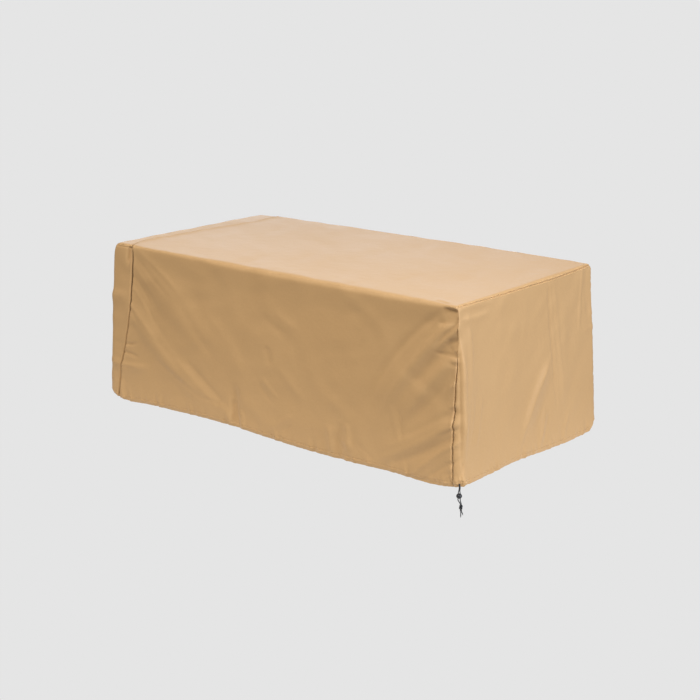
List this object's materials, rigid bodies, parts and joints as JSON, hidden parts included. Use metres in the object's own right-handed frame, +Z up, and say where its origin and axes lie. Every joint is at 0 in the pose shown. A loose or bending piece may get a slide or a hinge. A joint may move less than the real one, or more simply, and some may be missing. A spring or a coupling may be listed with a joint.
{
  "type": "fitted fire pit table cover",
  "caption": "Fitted cloth cover for a long low table: a hollow box of tan coated cloth, open at the bottom, with a drawcord, ball lock and knot at one corner of the hem.",
  "frame": {"origin": "middle of the underside of the cover's top, where it rests on the table that it covers", "axes": "+X along the cover to its right end as seen from the front, +Y to its back, +Z up; the cord hangs at the +X -Y corner"},
  "size_m": [1.5626, 0.8066, 0.6614],
  "materials": {
    "cloth": "smooth tightly woven polyester with a matt water-shedding coat",
    "cord": "black braided polyester cord",
    "lock": "black moulded plastic, satin"
  },
  "bodies": {
    "root": {"main_panel": "cloth", "left_end_panel": "cloth", "right_end_panel": "cloth", "drawcord_left": "cord", "drawcord_right": "cord", "cord_lock": "lock", "cord_knot": "cord"}
  },
  "joints": []
}
